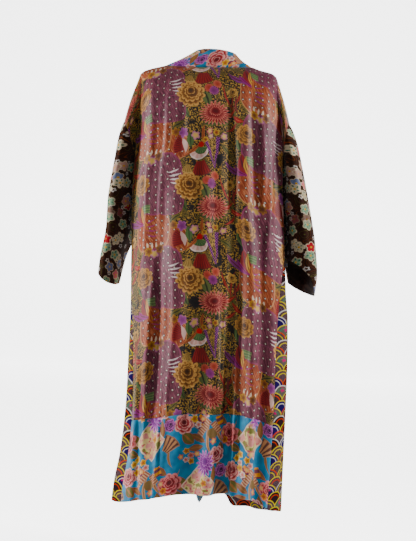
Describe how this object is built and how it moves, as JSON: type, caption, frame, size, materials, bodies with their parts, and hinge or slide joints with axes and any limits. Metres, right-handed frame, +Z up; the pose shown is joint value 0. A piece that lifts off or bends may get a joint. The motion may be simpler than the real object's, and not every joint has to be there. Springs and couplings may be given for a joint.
{
  "type": "patchwork kimono robe",
  "caption": "Long open-fronted kimono robe in patchwork prints, hanging hollow as if worn, with dropped sleeves, standing neckband, side panels and a turquoise hem band.",
  "frame": {"origin": "middle of the shoulder line, where the wearer's shoulders carry the robe", "axes": "+X to the wearer's right, +Y to the wearer's front, +Z up; the back of the robe faces -Y"},
  "size_m": [0.6221, 0.3059, 1.3229],
  "materials": {
    "floral": "soft sheen, multicolour flower and cloud print",
    "turquoise": "soft sheen, flower print on turquoise",
    "scales": "soft sheen, wave-scale print",
    "brown": "soft sheen, plum blossom print on dark brown"
  },
  "bodies": {
    "root": {"back": "floral", "front_left": "floral", "front_right": "floral", "shoulder_trim_left": "turquoise", "shoulder_trim_right": "turquoise", "neckband": "turquoise", "back_hem_band": "turquoise", "front_hem_band_left": "turquoise", "front_hem_band_right": "turquoise", "side_panel_left": "scales", "side_panel_right": "scales", "hem_facing_left": "scales", "hem_facing_right": "scales", "sleeve_left": "brown", "sleeve_right": "brown"}
  },
  "joints": []
}
